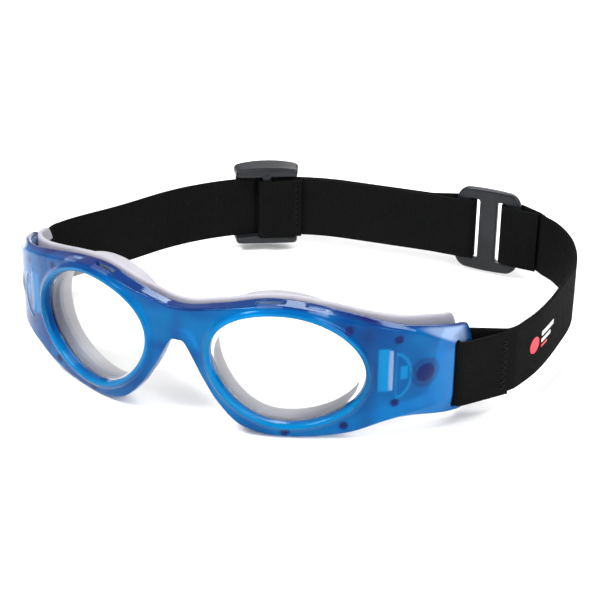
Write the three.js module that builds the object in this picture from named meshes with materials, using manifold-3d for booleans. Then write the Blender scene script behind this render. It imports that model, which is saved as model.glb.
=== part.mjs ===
// Sports protective goggles with an adjustable elastic headband.
// Millimetres, +Z up, +Y towards the back of the head, +X to the side with the ring buckle.
// The two lens rims touch the table; the buckles hang just above it.
import * as THREE from 'three';
import { mergeVertices } from 'three/addons/utils/BufferGeometryUtils.js';
import Module from 'manifold-3d';

const wasm = await Module();
wasm.setup();

// Front: its surface is measured by s, the distance along the wrap from the middle of the bridge,
// z, the height above the table, and d, the depth behind the outer surface.
const WING_END = 111.5;
const WALL = 2.2;
const BRIDGE_TURN = { end: 42, angle: 23 };
const TEMPLE_TURN = { start: 58, length: 64, angle: 66 };
const TOP_EDGE = [[0, 45.4], [14, 48.0], [31, 51.1], [46, 49.9], [62, 46.4], [78, 42.7], [92, 40.0],
  [104, 36.6], [109, 35.0], [WING_END, 32.6]];
const LEDGE = [[0, 45.7], [14, 47.8], [31, 50.3], [46, 49.2], [58, 46.0], [76, 42.0], [84, 39.4],
  [92.5, 34.8], [102.6, 29.4], [WING_END, 28.0]];
const CREASE = [[0, 32.9], [2.6, 32.3], [9.4, 20.4], [15, 11.8], [23.3, 3.9], [38.4, 0.5], [58.7, 2.2],
  [73.3, 7.2], [84, 9.4], [100, 10.3], [WING_END, 10.4]];
const BOTTOM_EDGE = [[0, 32.5], [2.6, 31.9], [9.4, 19.9], [15, 11.3], [23.3, 3.5], [38.4, 0.12], [58.7, 1.6],
  [73.3, 6.2], [84.5, 6.8], [101, 3.2], [109, 1.6], [WING_END, 3.8]];
const SHELF_DEPTH = [[0, 5.0], [38, 5.8], [62, 5.0], [80, 3.6], [98, 1.6], [WING_END, 1.4]];
const SOLE_DEPTH = [[0, 4.0], [38, 5.0], [62, 4.0], [80, 1.6], [98, 1.0], [WING_END, 0.9]];

// Lens openings: superellipses in s and z whose outer end droops.
const EYE = { s: 38.5, z: 26.3, long: 27, short: 20.55, turn: -13.35, power: 1.94, egg: 0.09 };
const EYE_STEPS = 40;
const LENS_LIP = 1.5;
const LENS_THICK = 2;
const LENS_FRONT = 2.9;
const LENS_ROOM = 0.3;
const CUT_FRONT = -5;
const CUT_BACK = 14;
const RIM = [[0, -0.8], [0.7, -1.4], [1.9, -1.2], [2.9, 0.6], [3.4, 6.0], [1.9, 6.0], [1.9, 2.6], [0, 2.6]];

// Face gasket: a plate behind the front with a soft skirt round each eye.
const GASKET_FRONT = 6.3;
const GASKET_PLATE = 1.8;
const GASKET_RISE = [[0, 0.9], [60, 1.0], [80, 1.6], [100, 2.2], [107, 2.2], [111, -0.4]];
const GASKET_SOLE = [[0, 34.2], [2.6, 33.6], [9.4, 21.6], [23.3, 5.4], [38.4, 1.6], [58.7, 3.6], [73.3, 9.0],
  [90, 11.0], [94, 14.0], [99, 31.6], [111, 31.8]];
const GASKET_END = 111;
const SKIRT = [[0.2, 5.2], [1.55, 5.2], [1.55, 6.4], [4.4, 6.4], [4.2, 9.0], [3.0, 13.5], [1.6, 14.0],
  [0.9, 12.0], [0.4, 8.0]];
const SKIRT_ROOM = 1.2;
const PEGS = [[38.4, 2.6], [59.5, 42.3], [58.4, 5.4], [75.6, 14.0], [76.4, 38.3]];
const PEG_RADIUS = 0.9;
const PEG_TIP = 1.2;
const PEG_ROOM = 0.3;

// Vents and the temple studs.
const TOP_VENTS = [[28.4, 37.4], [45.6, 52.6]];
const TOP_VENT_DEPTH = [2.6, 4.6];
const TOP_VENT_HEIGHT = [48, 53];
const SIDE_WINDOW = { s: [69.6, 73.6], z: [18.6, 35.0], d: [1.0, 3.4] };
const SIDE_PORT = { s: [77.4, 79.8], z: [23.2, 28.0], d: [1.0, 3.4] };
const STUD = { s: 86.5, z: 24.1, head: 3.7, flange: 5.2, room: 0.3 };

// Webbing: 25 mm elastic. It is level, and the back of the band stands a little higher than the wings.
const WEB_WIDTH = 25.2;
const WEB_THICK = 1.2;
const WEB_MIDDLE = 18;
const LAYER_GAP = 0.3;
const BAND_RISE = 1;
const BUCKLE_RISE = 1.4;
const FOLD_RADIUS = 0.15;
const STRAP_SLOT = { s: [100.3, 103.4], z: [5.0, 31.0] };
const WING_BAR = [104.6, 110.3];
const WING_BAR_DEPTH = 1.2;
const WING_BAR_ROOM = 2.5;
const RIGHT_SEAM = new THREE.Vector2(99.1, 59.4);
const LEFT_SEAM = new THREE.Vector2(-88.5, 62.4);
const RIGHT_STRAP = [[100.4, 61.7], [104.6, 78.6], [106.2, 99], [105.8, 118], [99.8, 135], [91, 147],
  [82.6, 153]];
const RIGHT_SPLIT = 0.46;
const LEFT_STRAP = [[-88.8, 64.4], [-83.9, 75.6], [-73.6, 92.6]];
const EMBLEM = { from: 0.10, to: 0.29, low: 13.5, high: 22.5, thick: 0.4 };

// The back of the band is an arc, so that the slider travels along it.
const BACK_CENTRE = new THREE.Vector2(8.6, 66.9);
const BACK_RADIUS = 84;
const BACK_ARC = [94.7, 149.8];
const LEFT_SPLIT = 149.8;
const SLIDER_ANGLE = 118.4;
const SLIDER = { height: 36, rail: 4.6, half: 13.2, deep: 3.3, outerBar: [9.0, 12.4], outerBarAt: [1.65, 3.3],
  centreBar: 1.9, centreBarAt: [-3.5, -1.9] };
const SLIDER_LOOP_ROOM = 1.35;
const SLIDER_LOOP_HALF = 1.2;
const SLIDER_SEAM = 14.5;
const TAIL_GAP = 1.8;

// Ring buckle: a flat three-bar ring that stands in line with the band.
const RING = { x: 59.5, y: 156.5, width: 26.4, height: 36, thick: 2.6, corner: 6, bar: 6.1, slot: 3.4,
  rail: 4.9, bevel: 0.7 };
const CORNER_STEPS = 5;
const RING_LOOP_ROOM = 2.15;
const RING_LOOP_INSET = 1.3;
const RIGHT_RING_SEAM = new THREE.Vector2(81.0, 154.0);
const LEFT_RING_END = new THREE.Vector2(36.5, 154.2);
const STITCH = { pitch: 2, sway: 1.1, thread: 0.45, rows: 10, fromEnd: 2.4 };

const rad = THREE.MathUtils.degToRad;

// ---- plan of the wrap and heights along it ----

// Cubic through the given points, level at the first one.
function through(points, s) {
  const last = points.length - 1;
  const x = Math.min(Math.max(Math.abs(s), points[0][0]), points[last][0]);
  let i = 0;
  while (i < last - 1 && x > points[i + 1][0]) i += 1;
  const slope = (k) => {
    if (k === 0) return 0;
    const a = points[k - 1];
    const b = points[Math.min(k + 1, last)];
    return (b[1] - a[1]) / (b[0] - a[0]);
  };
  const h = points[i + 1][0] - points[i][0];
  const t = (x - points[i][0]) / h;
  const rise = points[i + 1][1] - points[i][1];
  const m0 = slope(i) * h;
  const m1 = slope(i + 1) * h;
  return points[i][1] + t * (m0 + t * (3 * rise - 2 * m0 - m1 + t * (m0 + m1 - 2 * rise)));
}

// Direction of the wrap at s: it turns once beside the bridge and once at the temple.
function wrapAngle(s) {
  const bridge = BRIDGE_TURN.angle * THREE.MathUtils.smoothstep(s, 0, BRIDGE_TURN.end);
  const templeEnd = TEMPLE_TURN.start + TEMPLE_TURN.length;
  return rad(bridge + TEMPLE_TURN.angle * THREE.MathUtils.smoothstep(s, TEMPLE_TURN.start, templeEnd));
}

const WRAP_STEP = 0.5;
const WRAP_LENGTH = 125;
const wrapPlan = [new THREE.Vector2(0, 0)];
for (let s = WRAP_STEP; s <= WRAP_LENGTH; s += WRAP_STEP) {
  const a = wrapAngle(s - WRAP_STEP / 2);
  const from = wrapPlan[wrapPlan.length - 1];
  wrapPlan.push(new THREE.Vector2(from.x + WRAP_STEP * Math.cos(a), from.y + WRAP_STEP * Math.sin(a)));
}

// Plan position of the point at s along the wrap and d behind its outer surface.
function onWrap(s, d = 0) {
  const at = Math.abs(s);
  const i = Math.min(Math.floor(at / WRAP_STEP), wrapPlan.length - 2);
  const p = wrapPlan[i].clone().lerp(wrapPlan[i + 1], at / WRAP_STEP - i);
  const a = wrapAngle(at);
  return new THREE.Vector2(Math.sign(s || 1) * (p.x - d * Math.sin(a)), p.y + d * Math.cos(a));
}

function wrapPoint(s, z, d) {
  const p = onWrap(s, d);
  return [p.x, p.y, z];
}

// ---- closed meshes and cuts ----

function meshFrom(points, triangles) {
  const geometry = new THREE.BufferGeometry();
  geometry.setAttribute('position', new THREE.Float32BufferAttribute(points.flat(), 3));
  geometry.setIndex(triangles.flat());
  return geometry;
}

function facingOut(geometry) {
  const p = geometry.getAttribute('position');
  const index = geometry.getIndex().array;
  const corners = [new THREE.Vector3(), new THREE.Vector3(), new THREE.Vector3()];
  let volume = 0;
  for (let i = 0; i < index.length; i += 3) {
    corners.forEach((c, k) => c.fromBufferAttribute(p, index[i + k]));
    volume += corners[0].dot(corners[1].cross(corners[2]));
  }
  if (volume < 0) geometry.setIndex(Array.from(index).reverse());
  return geometry;
}

// Triangles that fill an outline, wound the way the outline runs.
function capTriangles(outline) {
  const way = Math.sign(THREE.ShapeUtils.area(outline));
  return THREE.ShapeUtils.triangulateShape(outline, []).map((t) => {
    const same = Math.sign(THREE.ShapeUtils.area(t.map((k) => outline[k]))) === way;
    return same ? t : t.reverse();
  });
}

// Solid through a row of equal rings of points; the ends are closed unless the row itself closes.
function loft(rings, closed = false) {
  const n = rings[0].length;
  const triangles = [];
  const rows = closed ? rings.length : rings.length - 1;
  for (let i = 0; i < rows; i += 1) {
    const next = (i + 1) % rings.length;
    for (let k = 0; k < n; k += 1) {
      const l = (k + 1) % n;
      triangles.push([i * n + k, next * n + k, next * n + l], [i * n + k, next * n + l, i * n + l]);
    }
  }
  if (!closed) {
    const end = (rings.length - 1) * n;
    capTriangles(rings.capOutline).forEach(([a, b, c]) => {
      triangles.push([a, b, c], [end + c, end + b, end + a]);
    });
  }
  return facingOut(meshFrom(rings.flat(), triangles));
}

function welded(geometry) {
  const bare = geometry.clone();
  bare.deleteAttribute('normal');
  bare.deleteAttribute('uv');
  return mergeVertices(bare, 1e-4);
}

function solid(geometry) {
  const bare = welded(geometry);
  return new wasm.Manifold(new wasm.Mesh({
    numProp: 3,
    vertProperties: bare.getAttribute('position').array,
    triVerts: new Uint32Array(bare.getIndex().array),
  }));
}

function geometryOf(manifold) {
  const cut = manifold.getMesh();
  const geometry = new THREE.BufferGeometry();
  geometry.setAttribute('position', new THREE.BufferAttribute(cut.vertProperties, 3));
  geometry.setIndex(new THREE.BufferAttribute(cut.triVerts, 1));
  return geometry;
}

// ---- the front ----

// Section of the shell at s: an outer chain and the same chain moved square to itself by the wall.
function shellSection(s) {
  const sole = [through(SOLE_DEPTH, s), through(BOTTOM_EDGE, s)];
  const crease = through(CREASE, s);
  const ledge = through(LEDGE, s);
  const shelf = [through(SHELF_DEPTH, s), through(TOP_EDGE, s)];
  const up = new THREE.Vector2(shelf[1] - ledge, -shelf[0]).normalize();
  const down = new THREE.Vector2(crease - sole[1], sole[0]).normalize();
  return [
    sole,
    [0, crease],
    [0, ledge],
    shelf,
    [shelf[0] + WALL * up.x, shelf[1] + WALL * up.y],
    [WALL, ledge + (WALL * up.y) / (1 + up.x)],
    [WALL, crease + (WALL * down.y) / (1 + down.x)],
    [sole[0] + WALL * down.x, sole[1] + WALL * down.y],
  ];
}

function stations(end, step) {
  const half = Math.round(end / step);
  return Array.from({ length: 2 * half + 1 }, (_, i) => (end * (i - half)) / half);
}

function wrapLoft(section, end, step = 3.6) {
  const at = stations(end, step);
  const rings = at.map((s) => section(s).map(([d, z]) => wrapPoint(s, z, d)));
  rings.capOutline = section(end).map(([d, z]) => new THREE.Vector2(d, z));
  return loft(rings);
}

// Point of the lens opening's edge at turn t, moved outwards by grow.
function eyePoint(t, grow = 0) {
  const at = (u) => {
    const c = Math.cos(u);
    const q = Math.sin(u);
    const cu = Math.sign(c) * Math.abs(c) ** (2 / EYE.power);
    const cv = Math.sign(q) * Math.abs(q) ** (2 / EYE.power);
    const a = EYE.long * cu * (1 + EYE.egg * cv);
    const b = EYE.short * cv;
    const turn = rad(EYE.turn);
    return new THREE.Vector2(a, b).rotateAround(new THREE.Vector2(), turn);
  };
  const along = at(t + 0.02).sub(at(t - 0.02)).normalize();
  const p = at(t);
  return [EYE.s + p.x + grow * along.y, EYE.z + p.y - grow * along.x];
}

// A ring round one lens opening whose section is given by [outward, depth] points.
function eyeRing(side, section) {
  const rings = [];
  for (let i = 0; i < EYE_STEPS; i += 1) {
    const t = (i / EYE_STEPS) * 2 * Math.PI;
    rings.push(section.map(([grow, d]) => {
      const [s, z] = eyePoint(t, grow);
      return wrapPoint(side * s, z, d);
    }));
  }
  return loft(rings, true);
}

// A plate that fills the opening's outline grown by grow, between two depths.
function eyePlate(side, grow, front, back) {
  const shares = [1, 0.66, 0.33];
  const points = [];
  [front, back].forEach((d) => {
    shares.forEach((share) => {
      for (let i = 0; i < EYE_STEPS; i += 1) {
        const [s, z] = eyePoint((i / EYE_STEPS) * 2 * Math.PI, grow);
        points.push(wrapPoint(side * (EYE.s + (s - EYE.s) * share), EYE.z + (z - EYE.z) * share, d));
      }
    });
    points.push(wrapPoint(side * EYE.s, EYE.z, d));
  });
  return facingOut(meshFrom(points, plateTriangles(shares.length)));
}

function plateTriangles(count) {
  const n = EYE_STEPS;
  const back = count * n + 1;
  const triangles = [];
  for (let k = 0; k < n; k += 1) {
    const l = (k + 1) % n;
    for (let r = 0; r < count - 1; r += 1) {
      const a = r * n;
      const b = a + n;
      triangles.push([a + k, b + l, b + k], [a + k, a + l, b + l]);
      triangles.push([back + a + k, back + b + k, back + b + l], [back + a + k, back + b + l, back + a + l]);
    }
    const hub = count * n;
    triangles.push([hub - n + k, hub - n + l, hub], [back + hub - n + l, back + hub - n + k, back + hub]);
    triangles.push([k, back + k, back + l], [k, back + l, l]);
  }
  return triangles;
}

// A block that follows the wrap, between two values each of s, z and d.
function wrapBlock(side, [s0, s1], [z0, z1], [d0, d1]) {
  const steps = Math.max(1, Math.ceil((s1 - s0) / 3));
  const rings = [];
  for (let i = 0; i <= steps; i += 1) {
    const s = side * (s0 + ((s1 - s0) * i) / steps);
    rings.push([wrapPoint(s, z0, d0), wrapPoint(s, z1, d0), wrapPoint(s, z1, d1), wrapPoint(s, z0, d1)]);
  }
  rings.capOutline = [[0, 0], [1, 0], [1, 1], [0, 1]].map(([a, b]) => new THREE.Vector2(a, b));
  return loft(rings);
}

// A turned piece whose axis stands square to the wrap, from a profile of [radius, depth] points.
function turnedOnWrap(side, s, z, profile, segments = 20) {
  const lathe = new THREE.LatheGeometry(profile.map(([r, d]) => new THREE.Vector2(r, d)), segments);
  const base = onWrap(side * s);
  const inward = onWrap(side * s, 1).sub(base);
  const turn = new THREE.Quaternion().setFromUnitVectors(
    new THREE.Vector3(0, 1, 0),
    new THREE.Vector3(inward.x, inward.y, 0).normalize(),
  );
  return lathe.applyQuaternion(turn).translate(base.x, base.y, z);
}

function pegProfile(grow, tip, back) {
  const r = PEG_RADIUS + grow;
  return [[0, tip], [r, tip], [r, back], [0, back]];
}

function frontFrame() {
  let body = solid(wrapLoft(shellSection, WING_END));
  [1, -1].forEach((side) => {
    body = body.subtract(solid(eyePlate(side, LENS_ROOM, CUT_FRONT, CUT_BACK)));
    body = body.add(solid(eyeRing(side, RIM)));
    body = body.subtract(solid(eyePlate(side, LENS_LIP + 0.4, LENS_FRONT - LENS_ROOM, CUT_BACK)));
    body = body.subtract(solid(wrapBlock(side, STRAP_SLOT.s, STRAP_SLOT.z, [CUT_FRONT, CUT_BACK])));
    body = body.subtract(solid(wrapBlock(side, SIDE_WINDOW.s, SIDE_WINDOW.z, SIDE_WINDOW.d)));
    body = body.subtract(solid(wrapBlock(side, SIDE_PORT.s, SIDE_PORT.z, SIDE_PORT.d)));
    TOP_VENTS.forEach((s) => {
      body = body.subtract(solid(wrapBlock(side, s, TOP_VENT_HEIGHT, TOP_VENT_DEPTH)));
    });
    PEGS.forEach(([s, z]) => {
      body = body.subtract(solid(turnedOnWrap(side, s, z, pegProfile(PEG_ROOM, PEG_TIP - PEG_ROOM, 9))));
    });
  });
  return geometryOf(body);
}

function gasketSection(s) {
  const low = through(GASKET_SOLE, s);
  const high = through(TOP_EDGE, s) + through(GASKET_RISE, s);
  return [[GASKET_FRONT, low], [GASKET_FRONT, high], [GASKET_FRONT + GASKET_PLATE, high],
    [GASKET_FRONT + GASKET_PLATE, low]];
}

function faceGasket() {
  let body = solid(wrapLoft(gasketSection, GASKET_END));
  [1, -1].forEach((side) => {
    body = body.subtract(solid(eyePlate(side, SKIRT_ROOM, 2, 20)));
    body = body.add(solid(eyeRing(side, SKIRT)));
    PEGS.forEach(([s, z]) => {
      body = body.add(solid(turnedOnWrap(side, s, z, pegProfile(0, PEG_TIP, GASKET_FRONT + 0.5))));
    });
  });
  return geometryOf(body);
}

function templeStud(side) {
  const front = WALL + STUD.room;
  const back = GASKET_FRONT - STUD.room;
  const profile = [[0, front], [STUD.head, front], [STUD.head, front + 1.4], [STUD.flange, front + 1.4],
    [STUD.flange, back], [0, back]];
  return turnedOnWrap(side, STUD.s, STUD.z, profile, 28);
}

// ---- webbing ----

function hull(points) {
  const sorted = [...points].sort((a, b) => a.x - b.x || a.y - b.y);
  const half = (list) => {
    const out = [];
    list.forEach((p) => {
      while (out.length > 1) {
        const a = out[out.length - 2];
        const b = out[out.length - 1];
        if ((b.x - a.x) * (p.y - a.y) - (b.y - a.y) * (p.x - a.x) > 1e-9) break;
        out.pop();
      }
      out.push(p);
    });
    return out.slice(0, -1);
  };
  return [...half(sorted), ...half(sorted.reverse())];
}

// Outline of a belt pulled tight round circles, each {at, r}, and grown by grow.
function belt(circles, grow) {
  const points = [];
  circles.forEach(({ at, r }) => {
    for (let i = 0; i < 20; i += 1) {
      const a = (i / 20) * 2 * Math.PI;
      points.push(new THREE.Vector2(at.x + (r + grow) * Math.cos(a), at.y + (r + grow) * Math.sin(a)));
    }
  });
  return hull(points);
}

function upright(shape, low = WEB_MIDDLE - WEB_WIDTH / 2, high = WEB_MIDDLE + WEB_WIDTH / 2) {
  const geometry = new THREE.ExtrudeGeometry(shape, { depth: high - low, bevelEnabled: false, steps: 1 });
  return geometry.translate(0, 0, low);
}

// A loop of webbing round circles.
function webLoop(circles) {
  const shape = new THREE.Shape(belt(circles, WEB_THICK));
  shape.holes.push(new THREE.Path(belt(circles, 0).reverse()));
  return upright(shape);
}

// Outline of a ribbon that follows plan points, between two offsets to their left.
function ribbon(points, near, far) {
  const left = points.map((p, i) => {
    const a = points[Math.max(i - 1, 0)];
    const b = points[Math.min(i + 1, points.length - 1)];
    return new THREE.Vector2(a.y - b.y, b.x - a.x).normalize();
  });
  const edge = (offset) => points.map((p, i) => p.clone().addScaledVector(left[i], offset));
  return new THREE.Shape([...edge(near), ...edge(far).reverse()]);
}

function planPoint([x, y]) {
  return new THREE.Vector2(x, y);
}

function backPoint(angle, out = 0) {
  const r = BACK_RADIUS + out;
  return new THREE.Vector2(
    BACK_CENTRE.x + r * Math.cos(rad(angle)),
    BACK_CENTRE.y + r * Math.sin(rad(angle)),
  );
}

function arcDegrees(length) {
  return THREE.MathUtils.radToDeg(length / BACK_RADIUS);
}

// Middle line of the double back band, from the ring buckle to the given angle of the arc.
function backLine(toAngle) {
  const start = backPoint(BACK_ARC[0]);
  const lead = new THREE.LineCurve(LEFT_RING_END.clone().add(new THREE.Vector2(-1.8, -0.2)), start);
  const points = lead.getPoints(1);
  const steps = Math.ceil((toAngle - BACK_ARC[0]) / 3);
  for (let i = 1; i <= steps; i += 1) {
    points.push(backPoint(BACK_ARC[0] + ((toAngle - BACK_ARC[0]) * i) / steps));
  }
  return points;
}

const rightCurve = new THREE.SplineCurve(RIGHT_STRAP.map(planPoint));
const leftCurve = new THREE.SplineCurve([...LEFT_STRAP.map(planPoint), backPoint(LEFT_SPLIT + 0.5)]);

function curvePart(curve, from, to, steps) {
  return Array.from({ length: steps + 1 }, (_, i) => curve.getPointAt(from + ((to - from) * i) / steps));
}

function wingLoop(side, seam) {
  const bars = WING_BAR.map((s) => ({ at: onWrap(side * s, WING_BAR_DEPTH), r: WING_BAR_ROOM }));
  return webLoop([...bars, { at: seam, r: FOLD_RADIUS }]);
}

function ringLoop(side, end) {
  const outer = RING.x + (side * RING.width) / 2;
  const inner = outer - side * RING.bar;
  const bars = [outer - side * RING_LOOP_INSET, inner + side * RING_LOOP_INSET];
  const circles = bars.map((x) => ({ at: new THREE.Vector2(x, RING.y), r: RING_LOOP_ROOM }));
  return webLoop([...circles, { at: end, r: FOLD_RADIUS }]);
}

// Position beside the slider's middle: along the band and out from its middle line.
function besideSlider(along, out) {
  return backPoint(SLIDER_ANGLE - arcDegrees(along), out);
}

function sliderLoop() {
  const middle = -LAYER_GAP / 2 - WEB_THICK - SLIDER_LOOP_ROOM;
  const bars = [-SLIDER_LOOP_HALF, SLIDER_LOOP_HALF].map((along) => (
    { at: besideSlider(along, middle), r: SLIDER_LOOP_ROOM }
  ));
  return webLoop([...bars, { at: besideSlider(SLIDER_SEAM, -LAYER_GAP - WEB_THICK), r: FOLD_RADIUS }]);
}

// ---- buckles ----

// Upright block that follows the band, between two distances along it and two out from it.
function bandBlock([a0, a1], [r0, r1], low, high) {
  const steps = 4;
  const line = Array.from({ length: steps + 1 }, (_, i) => a0 + ((a1 - a0) * i) / steps);
  const inner = line.map((a) => besideSlider(a, r0));
  const outer = line.map((a) => besideSlider(a, r1)).reverse();
  return upright(new THREE.Shape([...inner, ...outer]), low, high);
}

function sliderBuckle() {
  const ends = [-SLIDER.half, SLIDER.half];
  const deep = [-SLIDER.deep, SLIDER.deep];
  const top = SLIDER.height - SLIDER.rail;
  const [near, far] = SLIDER.outerBar;
  let body = solid(bandBlock(ends, deep, 0, SLIDER.rail));
  body = body.add(solid(bandBlock(ends, deep, top, SLIDER.height)));
  body = body.add(solid(bandBlock([near, far], SLIDER.outerBarAt, SLIDER.rail - 1, top + 1)));
  body = body.add(solid(bandBlock([-far, -near], SLIDER.outerBarAt, SLIDER.rail - 1, top + 1)));
  const bar = [-SLIDER.centreBar, SLIDER.centreBar];
  body = body.add(solid(bandBlock(bar, SLIDER.centreBarAt, SLIDER.rail - 1, top + 1)));
  return geometryOf(body);
}

function roundedRect(width, height, corner) {
  const w = width / 2 - corner;
  const h = height / 2 - corner;
  const points = [];
  [[w, -h], [w, h], [-w, h], [-w, -h]].forEach(([x, y], quarter) => {
    for (let i = 0; i <= CORNER_STEPS; i += 1) {
      const a = (quarter - 1 + i / CORNER_STEPS) * (Math.PI / 2);
      points.push(new THREE.Vector2(x + corner * Math.cos(a), y + corner * Math.sin(a)));
    }
  });
  return new THREE.Shape(points);
}

function ringBuckle() {
  const b = RING.bevel;
  const inner = RING.height / 2 - RING.rail;
  const outer = RING.width / 2 - RING.bar;
  const outline = roundedRect(RING.width - 2 * b, RING.height - 2 * b, RING.corner - b);
  const plate = new THREE.ExtrudeGeometry(outline, {
    depth: RING.thick - 2 * b, bevelThickness: b, bevelSize: b, bevelSegments: 1,
  });
  let body = solid(plate.translate(0, 0, b - RING.thick / 2));
  [-1, 1].forEach((side) => {
    const slot = new THREE.BoxGeometry(RING.slot, 2 * inner, RING.thick + 2);
    body = body.subtract(solid(slot.translate(side * (outer - RING.slot / 2), 0, 0)));
  });
  return geometryOf(body).rotateX(Math.PI / 2).translate(RING.x, RING.y, RING.height / 2);
}

// ---- stitching and print ----

// Zigzag row of thread that stands upright on a face at a plan point facing outwards.
function stitching(at, outwards) {
  const side = (offset) => Array.from({ length: STITCH.rows + 1 }, (_, i) => new THREE.Vector2(
    (i % 2 ? STITCH.sway : -STITCH.sway) + offset,
    i * STITCH.pitch,
  ));
  const shape = new THREE.Shape([...side(-STITCH.thread), ...side(STITCH.thread).reverse()]);
  const row = new THREE.ExtrudeGeometry(shape, { depth: STITCH.thread, bevelEnabled: false });
  const normal = new THREE.Vector3(outwards.x, outwards.y, 0).normalize();
  const up = new THREE.Vector3(0, 0, 1);
  const basis = new THREE.Matrix4().makeBasis(new THREE.Vector3().crossVectors(up, normal), up, normal);
  row.applyMatrix4(basis);
  return row.translate(
    at.x + normal.x * LAYER_GAP,
    at.y + normal.y * LAYER_GAP,
    WEB_MIDDLE - (STITCH.rows * STITCH.pitch) / 2,
  );
}

// Row of thread on the outer or inner face of a sewn seam, back from the seam's end towards the loop.
function seamStitching(seam, towards, side) {
  const along = new THREE.Vector2().subVectors(towards, seam).normalize();
  const out = new THREE.Vector2(-along.y, along.x).multiplyScalar(side);
  const face = WEB_THICK + LAYER_GAP + STITCH.thread;
  const at = seam.clone().addScaledVector(along, STITCH.fromEnd).addScaledVector(out, face);
  return stitching(at, out);
}

function strapPrint() {
  const line = curvePart(rightCurve, EMBLEM.from, EMBLEM.to, 8);
  const face = WEB_THICK / 2 + LAYER_GAP;
  return upright(ribbon(line, -face - EMBLEM.thick, -face), EMBLEM.low, EMBLEM.high);
}

// ---- assembly ----

const paint = (color, roughness, more = {}) => new THREE.MeshStandardMaterial({
  color, roughness, metalness: 0, ...more,
});
const BLUE = paint(0x0a78cc, 0.15, { transparent: true, opacity: 0.85 });
const CLEAR = paint(0xf4f6f6, 0.05, { transparent: true, opacity: 0.3 });
const MILKY = paint(0xd2d0d4, 0.5);
const STUD_RED = paint(0x3a1030, 0.4);
const WEBBING = paint(0x101112, 0.95);
const THREAD = paint(0x08090a, 0.9);
const BUCKLE = paint(0x34363b, 0.4);
const PRINT = paint(0xb8283c, 0.5);

const goggles = new THREE.Group();

function add(name, geometry, material, rise = 0) {
  const mesh = new THREE.Mesh(welded(geometry.translate(0, 0, rise)), material);
  mesh.name = name;
  goggles.add(mesh);
}

function addFront() {
  add('front_frame', frontFrame(), BLUE);
  add('face_gasket', faceGasket(), MILKY);
  [['right', 1], ['left', -1]].forEach(([name, side]) => {
    add(`lens_${name}`, eyePlate(side, LENS_LIP, LENS_FRONT, LENS_FRONT + LENS_THICK), CLEAR);
    add(`temple_stud_${name}`, templeStud(side), STUD_RED);
  });
}

function addStraps() {
  const half = WEB_THICK / 2;
  const gap = LAYER_GAP / rightCurve.getLength();
  const front = curvePart(rightCurve, 0, RIGHT_SPLIT - gap / 2, 14);
  const rear = curvePart(rightCurve, RIGHT_SPLIT + gap / 2, 1, 16);
  add('right_wing_loop', wingLoop(1, RIGHT_SEAM), WEBBING);
  add('right_strap_front', upright(ribbon(front, -half, half)), WEBBING, BAND_RISE / 2);
  add('right_strap_rear', upright(ribbon(rear, -half, half)), WEBBING, BAND_RISE);
  add('right_ring_loop', ringLoop(1, RIGHT_RING_SEAM), WEBBING, BUCKLE_RISE);
  add('left_wing_loop', wingLoop(-1, LEFT_SEAM), WEBBING);
  add('left_strap_front', upright(ribbon(curvePart(leftCurve, 0, 1, 12), -half, half)), WEBBING);
  const near = LAYER_GAP / 2;
  const far = near + WEB_THICK;
  add('back_band_outer', upright(ribbon(backLine(LEFT_SPLIT), -far, -near)), WEBBING, BAND_RISE);
  const tailEnd = SLIDER_ANGLE - arcDegrees(SLIDER_SEAM + TAIL_GAP);
  add('back_band_inner', upright(ribbon(backLine(tailEnd), near, far)), WEBBING, BAND_RISE);
  add('left_ring_loop', ringLoop(-1, LEFT_RING_END), WEBBING, BUCKLE_RISE);
  add('slider_loop', sliderLoop(), WEBBING, BAND_RISE);
}

function addDetails() {
  add('ring_buckle', ringBuckle(), BUCKLE, BUCKLE_RISE);
  add('slider_buckle', sliderBuckle(), BUCKLE, BUCKLE_RISE);
  add('right_wing_stitching', seamStitching(RIGHT_SEAM, onWrap(WING_BAR[0]), 1), THREAD);
  add('left_wing_stitching', seamStitching(LEFT_SEAM, onWrap(-WING_BAR[0]), -1), THREAD);
  const ringEnd = new THREE.Vector2(RING.x + RING.width / 2, RING.y);
  add('right_ring_stitching', seamStitching(RIGHT_RING_SEAM, ringEnd, -1), THREAD, BUCKLE_RISE);
  const fold = [SLIDER_SEAM, 0].map((along) => besideSlider(along, -LAYER_GAP - WEB_THICK));
  add('slider_stitching', seamStitching(fold[0], fold[1], 1), THREAD, BAND_RISE);
  add('strap_print', strapPrint(), PRINT, BAND_RISE / 2);
}

addFront();
addStraps();
addDetails();

const box = new THREE.Box3().setFromObject(goggles);
goggles.position.set(-(box.min.x + box.max.x) / 2, -(box.min.y + box.max.y) / 2, -box.min.z);

export default goggles;
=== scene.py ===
"""Sports protective goggles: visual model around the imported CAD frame, in millimetres until placed."""
import math

import bpy
import numpy as np
from mathutils import Matrix, Vector


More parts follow.
